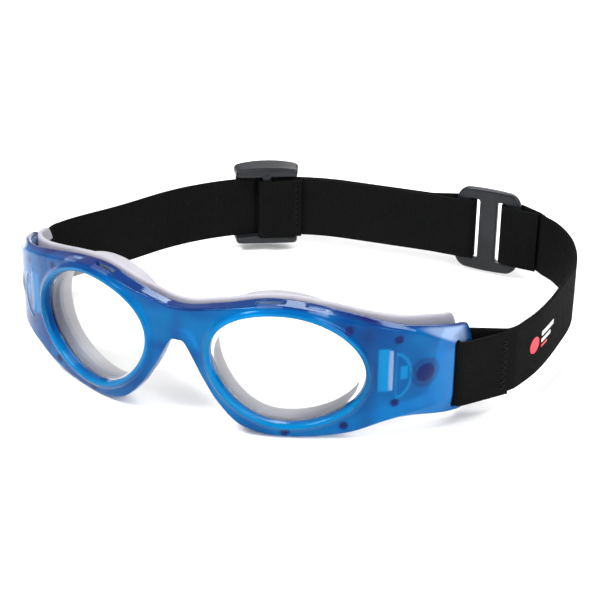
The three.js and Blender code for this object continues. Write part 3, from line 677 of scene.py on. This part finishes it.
def slider_buckle():
    """Three-bar slider whose rails bow out behind the band."""
    axes, (a, o, z) = grid((-14.0, 14.0, 0.4), (-4.4, 6.8, 0.3), (-0.8, 36.8, 0.4))
    bow = 1.0 - (a / 13.2) ** 2
    field = None
    for rail, high in ((3.4, 1.9), (33.4, 2.3)):
        outer = 1.6 * np.clip(bow, 0, 1) ** 0.5
        taper = 0.9 * (1 - np.clip(bow, 0, 1) ** 0.5)
        r = rounded_box(a, o - outer, z - rail, (13.0, 3.3 + outer, high - taper), 1.2)
        field = r if field is None else join(field, r)
    for at in (-10.7, 10.7):
        bar = rounded_box(a - at, o - 2.475, z - 18, (1.7, 0.8, 14.5), 0.75)
        field = join(field, bar, 0.8)
    centre = rounded_box(a, o + 2.7, z - 18, (1.9, 0.8, 14.5), 0.75)
    field = join(field, centre, 0.6)
    points, quads = surface_net(field, axes)
    points = relax(points, quads, 2)
    angle = math.radians(SLIDER_ANGLE) - points[:, 0] / BACK_RADIUS
    r = BACK_RADIUS + points[:, 1]
    high = points[:, 2] + BUCKLE_RISE
    xyz = np.stack([BACK_CENTRE[0] + r * np.cos(angle), BACK_CENTRE[1] + r * np.sin(angle), high], 1)
    return placed("slider_moulding", xyz, quads, "slider")


def ring_buckle():
    """Flat three-bar ring with bowed rails."""
    axes, (x, z, y) = grid((-14.2, 14.2, 0.36), (-0.9, 36.9, 0.36), (-2.3, 2.3, 0.28))
    bow = 0.8 * (x / 13.2) ** 2
    q = [np.abs(x) - 13.2 + 5, np.abs(z - 18) - 18 + 5 + bow]
    outline = np.sqrt(np.maximum(q[0], 0) ** 2 + np.maximum(q[1], 0) ** 2) + np.minimum(np.maximum(*q), 0) - 5
    slab = np.abs(y) - 1.3
    r = 0.9
    u, v = outline + r, slab + r
    field = np.sqrt(np.maximum(u, 0) ** 2 + np.maximum(v, 0) ** 2) + np.minimum(np.maximum(u, v), 0) - r
    for side in (-1, 1):
        slot = rounded_box(x - side * 5.4, y * 0, z - 18, (1.7, 9, 13.1), 0.9)
        field = cut(field, slot, 0.5)
    points, quads = surface_net(field, axes)
    points = relax(points, quads, 2)
    xyz = np.stack([RING_X + points[:, 0], RING_Y + points[:, 2], points[:, 1] + BUCKLE_RISE], 1)
    return placed("ring_moulding", xyz, quads[:, ::-1], "ring")


# ---- stitches and print ----

def stitches(name, at, along, normal, rows, body=None, pitch=1.25, thread=0.28, high=20.0):
    """Zigzag rows of thread on a face: at is a plan point on it, normal points out of it."""
    a = np.array([along[0], along[1], 0.0])
    n = np.array([normal[0], normal[1], 0.0])
    up = np.array([0, 0, 1.0])
    base = np.array([at[0], at[1], WEB_MIDDLE + rise(*at)])
    count = int(high / pitch)
    points, faces = [], []
    sides, steps = 6, 6
    for row, sway in rows:
        for i in range(count):
            z0, z1 = -high / 2 + i * pitch, -high / 2 + (i + 1) * pitch
            x0, x1 = (row - sway, row + sway) if i % 2 else (row + sway, row - sway)
            first = len(points)
            axis = a * (x1 - x0) + up * (z1 - z0)
            axis /= np.linalg.norm(axis)
            side = np.cross(axis, n)
            for k in range(steps + 1):
                t = k / steps
                lift = thread * (1.5 * math.sin(math.pi * t) - 0.75)
                centre = base + a * (x0 + (x1 - x0) * t) + up * (z0 + (z1 - z0) * t) + n * lift
                for m in range(sides):
                    w = 2 * math.pi * m / sides
                    points.append(centre + thread * (math.cos(w) * n + math.sin(w) * side))
            for k in range(steps):
                for m in range(sides):
                    p, q = first + k * sides, (m + 1) % sides
                    faces.append((p + m, p + q, p + sides + q, p + sides + m))
            faces.append(tuple(first + m for m in range(sides))[::-1])
            faces.append(tuple(first + steps * sides + m for m in range(sides)))
    return placed(name, np.array(points), faces, body)


# ---- materials ----

class Nodes:
    """A material's node tree with short helpers."""

    def __init__(self, name, **sockets):
        self.material = bpy.data.materials.new(name)
        self.material.use_nodes = True
        self.tree = self.material.node_tree
        self.shader = self.tree.nodes["Principled BSDF"]
        for key, value in sockets.items():
            self.shader.inputs[key.replace("_", " ")].default_value = value

    def node(self, kind, values=None, **settings):
        n = self.tree.nodes.new(kind)
        for key, value in settings.items():
            setattr(n, key, value)
        for key, value in (values or {}).items():
            if isinstance(value, bpy.types.NodeSocket):
                self.tree.links.new(value, n.inputs[key])
            else:
                n.inputs[key].default_value = value
        return n

    def math(self, kind, a, b=0.0):
        return self.node("ShaderNodeMath", {0: a, 1: b}, operation=kind).outputs[0]

    def noise(self, scale, detail=3.0, vector=None, rough=0.5):
        v = vector or self.node("ShaderNodeTexCoord").outputs["Object"]
        return self.node("ShaderNodeTexNoise", {"Vector": v, "Scale": scale, "Detail": detail,
                                                "Roughness": rough}).outputs["Fac"]

    def ramp(self, value, low, high, a=0.0, b=1.0):
        return self.node("ShaderNodeMapRange", {"Value": value, "From Min": a, "From Max": b,
                                                "To Min": low, "To Max": high}).outputs[0]

    def tint(self, factor, a, b):
        m = self.node("ShaderNodeMix", {0: factor}, data_type="RGBA")
        m.inputs[6].default_value, m.inputs[7].default_value = a, b
        return m.outputs[2]

    def link(self, value, socket):
        self.tree.links.new(value, self.shader.inputs[socket])

    def bump(self, height, distance, strength=1.0):
        b = self.node("ShaderNodeBump", {"Height": height, "Distance": distance, "Strength": strength})
        self.link(b.outputs[0], "Normal")


def blue_plastic():
    m = Nodes("frame_blue", IOR=1.38, Transmission_Weight=0.5, Specular_IOR_Level=0.2,
              Specular_Tint=(0.35, 0.7, 1.0, 1))
    cloud = m.ramp(m.noise(38.0, 2.0), 0, 1, 0.38, 0.62)
    tone = m.tint(cloud, (0.0, 0.062, 0.27, 1), (0.0, 0.15, 0.44, 1))
    # Lighter blue for painted light, pale lilac for the gasket with painted light, dark navy for painted
    # shade and the stud.
    for name, colour in (("painted_light", (0.0, 0.27, 0.62, 1)), ("gasket_and_painted_light", (0.30, 0.42, 0.66, 1)),
                         ("painted_shade_and_stud", (0.008, 0.008, 0.12, 1))):
        mask = m.node("ShaderNodeAttribute", attribute_name=name).outputs["Fac"]
        mix = m.node("ShaderNodeMix", {0: mask, 6: tone}, data_type="RGBA")
        mix.inputs[7].default_value = colour
        tone = mix.outputs[2]
    m.link(tone, "Base Color")
    m.link(m.ramp(m.noise(160.0), 0.03, 0.10), "Roughness")
    m.bump(m.noise(900.0), 0.00003, 0.3)
    return m.material


def clear_lens():
    m = Nodes("lens_clear", IOR=1.45, Transmission_Weight=1.0)
    m.shader.inputs["Base Color"].default_value = (0.95, 0.955, 0.94, 1)
    m.link(m.ramp(m.noise(60.0), 0.0, 0.03), "Roughness")
    return m.material


def milky_rubber():
    m = Nodes("gasket_milky", IOR=1.42, Subsurface_Weight=0.35, Subsurface_Scale=0.004,
              Transmission_Weight=0.15)
    m.shader.inputs["Subsurface Radius"].default_value = (1.0, 0.95, 1.0)
    cloud = m.ramp(m.noise(45.0), 0, 1, 0.35, 0.65)
    m.link(m.tint(cloud, (0.30, 0.29, 0.33, 1), (0.38, 0.37, 0.41, 1)), "Base Color")
    m.link(m.ramp(m.noise(300.0), 0.38, 0.52), "Roughness")
    m.bump(m.noise(700.0), 0.00006, 0.4)
    return m.material


def dark_stud():
    m = Nodes("stud_dark", IOR=1.5)
    m.link(m.tint(m.noise(200.0), (0.07, 0.0, 0.05, 1), (0.12, 0.0, 0.08, 1)), "Base Color")
    m.link(m.ramp(m.noise(400.0), 0.25, 0.4), "Roughness")
    m.bump(m.noise(1500.0), 0.00003, 0.4)
    return m.material


def black_webbing():
    m = Nodes("webbing_black", Specular_IOR_Level=0.05)
    uv = m.node("ShaderNodeSeparateXYZ", {0: m.node("ShaderNodeTexCoord").outputs["UV"]})
    u = m.math("MULTIPLY", uv.outputs[0], 10.0)
    v = m.math("MULTIPLY", uv.outputs[1], 10.0)
    rib = m.math("ABSOLUTE", m.math("SINE", m.math("MULTIPLY", u, math.pi / 0.85)))
    shift = m.math("MULTIPLY", m.math("FLOOR", m.math("DIVIDE", u, 0.85)), math.pi / 2)
    knit = m.math("ABSOLUTE", m.math("SINE", m.math("ADD", m.math("MULTIPLY", v, math.pi / 0.62), shift)))
    height = m.math("ADD", m.math("MULTIPLY", rib, 0.7), m.math("MULTIPLY", knit, 0.45))
    height = m.math("ADD", height, m.math("MULTIPLY", m.noise(2600.0), 0.5))
    shade = m.math("MULTIPLY", height, m.ramp(m.noise(70.0), 0.7, 1.15))
    lit = m.ramp(shade, 0, 1, 0.2, 1.5)
    m.link(m.tint(lit, (0.0008, 0.0009, 0.0008, 1), (0.0060, 0.0064, 0.0062, 1)), "Base Color")
    m.link(m.ramp(m.noise(500.0), 0.72, 0.95), "Roughness")
    m.bump(height, 0.00016, 0.9)
    return m.material


def black_thread():
    m = Nodes("thread_black", Specular_IOR_Level=0.1)
    m.link(m.tint(m.noise(1500.0), (0.001, 0.001, 0.001, 1), (0.004, 0.004, 0.004, 1)), "Base Color")
    m.link(m.ramp(m.noise(900.0), 0.45, 0.7), "Roughness")
    m.bump(m.noise(4000.0), 0.00006, 0.6)
    return m.material


def charcoal_buckle():
    m = Nodes("buckle_grey", IOR=1.5, Specular_IOR_Level=0.3)
    cloud = m.ramp(m.noise(90.0), 0, 1, 0.3, 0.7)
    m.link(m.tint(cloud, (0.005, 0.006, 0.008, 1), (0.010, 0.012, 0.015, 1)), "Base Color")
    m.link(m.ramp(m.noise(500.0), 0.26, 0.40), "Roughness")
    m.bump(m.noise(2200.0), 0.00004, 0.5)
    return m.material


def printed(name, a, b):
    m = Nodes(name, IOR=1.45)
    m.link(m.tint(m.noise(400.0), a, b), "Base Color")
    m.link(m.ramp(m.noise(700.0), 0.4, 0.6), "Roughness")
    m.bump(m.noise(1200.0), 0.00008, 0.5)
    return m.material


BLUE, CLEAR, MILKY, STUD = blue_plastic(), clear_lens(), milky_rubber(), dark_stud()
WEB, THREAD, BUCKLE = black_webbing(), black_thread(), charcoal_buckle()
RED = printed("print_red", (0.50, 0.015, 0.03, 1), (0.62, 0.03, 0.05, 1))
WHITE = printed("print_white", (0.62, 0.62, 0.62, 1), (0.75, 0.75, 0.75, 1))


def finish(obj, material, slot, *nodes):
    obj.data.materials.append(material)
    if nodes:
        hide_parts(*nodes)
    return obj


# ---- assembly ----

def part_frame(p, z=0.018):
    return tuple(((np.array([p[0], p[1], 0.0]) + SHIFT) * MM)[:2]) + (z,)


def build_front():
    finish(front_frame(), BLUE, "frame_blue", "front_frame")
    finish(face_gasket(), MILKY, "gasket_milky", "face_gasket")
    for side, name in ((1, "right"), (-1, "left")):
        finish(lens(side), CLEAR, "lens_clear", "lens_" + name)
        finish(temple_stud(side), STUD, "stud_dark", "temple_stud_" + name)


def build_band():
    right = right_band()
    wing, side, ring = split(right, RIGHT_STRAP[0], RIGHT_STRAP[-1])
    at = [0, lengths(wing)[-1], lengths(wing)[-1] + lengths(side)[-1]]
    pieces = {}
    loop = webbing("right_wing_web", wing, at[0])
    finish(loop, WEB, "webbing_black", "right_wing_loop")
    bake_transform(loop)
    strap = webbing("right_side_web", side, at[1])
    finish(strap, WEB, "webbing_black", "right_strap_front", "right_strap_rear")
    stretch = (part_frame((98.5, 66.0)), part_frame((98.5, 150.0)))
    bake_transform(strap)
    loop = webbing("right_ring_web", ring, at[2])
    finish(loop, WEB, "webbing_black", "right_ring_loop")
    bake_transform(loop)
    return right, stretch


def build_long_band():
    line = left_band()
    splits = [LEFT_STRAP[0], back_point(148.0, 0.75), LEFT_RING_END + (0, 0.75), LEFT_RING_END - (0, 0.75),
              beside_slider(SLIDER_SEAM, -0.75)]
    # The line passes the ring's side of the band twice, so the pieces are cut in order.
    cuts, begin = [], 0
    for p in splits:
        window = line[begin:begin + 400] if begin else line[:200]
        cuts.append(begin + int(np.argmin(np.linalg.norm(window - np.array(p), axis=1))))
        begin = cuts[-1] + 10
    ends = [0] + cuts + [len(line) - 1]
    parts = [line[a:b + 1] for a, b in zip(ends[:-1], ends[1:])]
    names = ["left_wing_web", "left_side_web", "back_web", "left_ring_web", "tail_web", "slider_web"]
    nodes = [["left_wing_loop"], ["left_strap_front"], ["back_band_outer"], ["left_ring_loop"],
             ["back_band_inner"], ["slider_loop"]]
    at = 0.0
    made = []
    for name, part, covered in zip(names, parts, nodes):
        body = {"back_web": "back_band", "slider_web": "slider"}.get(name)
        made.append(finish(webbing(name, part, at, body), WEB, "webbing_black", *covered))
        at += lengths(part)[-1]
    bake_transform(made[0])
    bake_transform(made[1])
    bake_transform(made[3])
    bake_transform(made[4])


def build_buckles():
    finish(slider_buckle(), BUCKLE, "buckle_grey", "slider_buckle")
    finish(ring_buckle(), BUCKLE, "buckle_grey", "ring_buckle")


def unit(v):
    return np.array(v) / np.linalg.norm(v)


def build_stitching():
    rows = [(2.4, 1.1)]
    specs = [
        ("right_wing_thread", RIGHT_SEAM, bars_on_wrap(1)[0][0], 1, "right_wing_stitching", None),
        ("left_wing_thread", LEFT_SEAM, bars_on_wrap(-1)[0][0], -1, "left_wing_stitching", None),
        ("right_ring_thread", RIGHT_RING_SEAM, np.array([72.7, 156.5]), -1, "right_ring_stitching",
         "back_band"),
        ("slider_thread", beside_slider(SLIDER_SEAM, -1.5), beside_slider(0, -1.5), 1, "slider_stitching",
         "slider"),
    ]
    for name, seam, towards, side, node, body in specs:
        along = unit(towards - seam)
        out = np.array([-along[1], along[0]]) * side
        obj = stitches(name, seam + out * (WEB_THICK + FOLD_RADIUS + 0.25), along, out, rows, body)
        finish(obj, THREAD, "thread_black", node)
        if body is None:
            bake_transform(obj)


def decal(name, line, u_points):
    """Thin printed shape on the strap's outer face from an outline of (along, height) points."""
    at = lengths(line)
    tangent = np.gradient(line, axis=0)
    tangent /= np.linalg.norm(tangent, axis=1)[:, None]
    normal = np.stack([tangent[:, 1], -tangent[:, 0]], 1)
    points, n = [], len(u_points)
    for lift in (WEB_THICK / 2 - 0.1, WEB_THICK / 2 + 0.12):
        for u, z in u_points:
            p = [np.interp(u, at, line[:, m]) + lift * np.interp(u, at, normal[:, m]) for m in range(2)]
            points.append((p[0], p[1], WEB_MIDDLE + rise(*p) + z))
    faces = [tuple(range(n)), tuple(range(n, 2 * n))[::-1]]
    faces += [(k, n + k, n + (k + 1) % n, (k + 1) % n) for k in range(n)]
    return placed(name, np.array(points), [f[::-1] for f in faces], smooth=False)


def strip(u0, u1, z0, z1, steps=12):
    us = np.linspace(u0, u1, steps + 1)
    return [(u, z0) for u in us] + [(u, z1) for u in us[::-1]]


def build_print(right):
    wing = split(right, RIGHT_STRAP[0], RIGHT_STRAP[-1])[0]
    start = lengths(wing)[-1]
    turns = np.linspace(0, 2 * math.pi, 36, False)
    disc = [(start + 13.2 + 3.2 * math.cos(a), 3.2 * math.sin(a)) for a in turns]
    marks = [("print_disc", disc, RED, ["strap_print"]),
             ("print_bar_a", strip(start + 18.4, start + 29.0, 1.4, 3.2), WHITE, []),
             ("print_bar_b", strip(start + 18.4, start + 26.4, -1.2, 0.2), WHITE, []),
             ("print_bar_c", strip(start + 18.4, start + 23.6, -3.2, -2.2), RED, [])]
    for name, outline, material, nodes in marks:
        obj = finish(decal(name, right, outline), material, "print_red", *nodes)
        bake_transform(obj)


build_front()
right_line, right_stretch = build_band()
build_long_band()
build_buckles()
build_stitching()
build_print(right_line)


# ---- stage ----

def build_floor():
    mesh = bpy.data.meshes.new("floor")
    mesh.from_pydata([(-3, -3, 0), (3, -3, 0), (3, 3, 0), (-3, 3, 0)], [], [(0, 1, 2, 3)])
    floor = bpy.data.objects.new("floor", mesh)
    bpy.context.scene.collection.objects.link(floor)
    m = Nodes("floor_pale", Roughness=0.7)
    m.link(m.tint(m.noise(3.0), (0.86, 0.86, 0.86, 1), (0.88, 0.88, 0.88, 1)), "Base Color")
    mesh.materials.append(m.material)


def build_lights():
    world = bpy.data.worlds.new("studio")
    bpy.context.scene.world = world
    world.use_nodes = True
    background = world.node_tree.nodes["Background"]
    background.inputs[0].default_value = (1, 1, 1, 1)
    background.inputs[1].default_value = 0.55
    lamps = (("key", (-0.35, -0.45, 1.0), (0.4, 0.5), 17),
             ("side", (0.8, -0.5, 0.5), (0.2, 0.6), 8),
             ("back", (0.1, 0.8, 0.7), (0.9, 0.3), 9))
    for name, at, size, power in lamps:
        light = bpy.data.lights.new(name, "AREA")
        light.shape = "RECTANGLE"
        light.size, light.size_y = size
        light.energy = power
        obj = bpy.data.objects.new(name, light)
        bpy.context.scene.collection.objects.link(obj)
        obj.location = at
        aim = Vector((0, 0, 0.02)) - Vector(at)
        obj.rotation_euler = aim.to_track_quat("-Z", "Y").to_euler()


def build_camera():
    eye = Vector((0.23827, -0.5423, 0.3213))
    target = Vector((0.03745, -0.07937, 0.05841))
    roll = math.radians(0.75)
    forward = (target - eye).normalized()
    right = forward.cross(Vector((0, 0, 1))).normalized()
    up = right.cross(forward)
    x = right * math.cos(roll) + up * math.sin(roll)
    y = up * math.cos(roll) - right * math.sin(roll)
    camera = bpy.data.cameras.new("camera")
    camera.lens = 105.75
    camera.sensor_width = 36
    obj = bpy.data.objects.new("camera", camera)
    bpy.context.scene.collection.objects.link(obj)
    rotation = Matrix((x, y, -forward)).transposed().to_4x4()
    obj.matrix_world = Matrix.Translation(eye) @ rotation
    bpy.context.scene.camera = obj


bpy.context.scene.view_settings.view_transform = "Standard"
build_floor()
build_lights()
build_camera()
